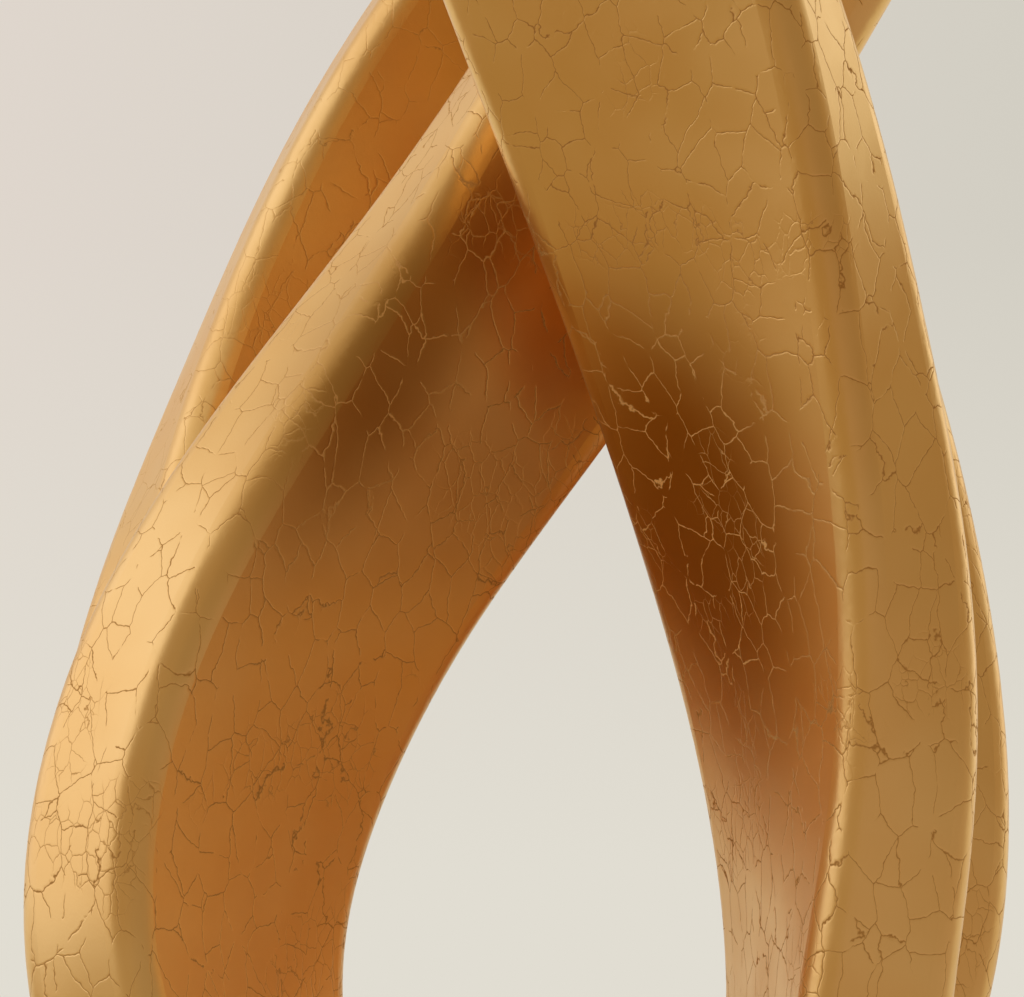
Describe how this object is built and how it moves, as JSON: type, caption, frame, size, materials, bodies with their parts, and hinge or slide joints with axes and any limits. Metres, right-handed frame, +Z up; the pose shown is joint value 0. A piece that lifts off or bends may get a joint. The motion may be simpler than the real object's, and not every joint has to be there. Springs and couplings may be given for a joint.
{
  "type": "knot sculpture",
  "caption": "Free-standing gold knot sculpture: a thick flat band that twists through a double figure of eight, made of hollow cast shells on inner sleeves, with padded feet.",
  "frame": {"origin": "on the surface that the sculpture stands on, under the middle of its outline", "axes": "+Z up, +X to the right and +Y away from the viewer of the picture"},
  "size_m": [0.2354, 0.1924, 0.5448],
  "materials": {
    "gold_shell": "satin gold with a fine crackle",
    "joint_sleeve": "as cast",
    "ballast": "as cast",
    "foot_plate": "brushed",
    "screws": "plain",
    "felt": "felt"
  },
  "bodies": {
    "root": {"back_ballast": "ballast", "back_felt_pad": "felt", "back_foot": "gold_shell", "back_foot_plate": "foot_plate", "back_foot_screws": "screws", "back_foot_sleeve": "joint_sleeve", "back_left_leg": "gold_shell", "back_left_leg_sleeve": "joint_sleeve", "back_right_leg": "gold_shell", "back_right_leg_sleeve": "joint_sleeve", "front_ballast": "ballast", "front_felt_pad": "felt", "front_foot": "gold_shell", "front_foot_plate": "foot_plate", "front_foot_screws": "screws", "front_foot_sleeve": "joint_sleeve", "front_left_leg": "gold_shell", "front_left_leg_sleeve": "joint_sleeve", "front_right_leg": "gold_shell", "front_right_leg_sleeve": "joint_sleeve", "inner_crown": "gold_shell", "inner_crown_sleeve": "joint_sleeve", "inner_left_limb": "gold_shell", "inner_left_limb_sleeve": "joint_sleeve", "inner_right_limb": "gold_shell", "inner_right_limb_sleeve": "joint_sleeve", "outer_crown": "gold_shell", "outer_crown_sleeve": "joint_sleeve", "outer_left_limb": "gold_shell", "outer_left_limb_sleeve": "joint_sleeve", "outer_right_limb": "gold_shell", "outer_right_limb_sleeve": "joint_sleeve"}
  },
  "joints": []
}
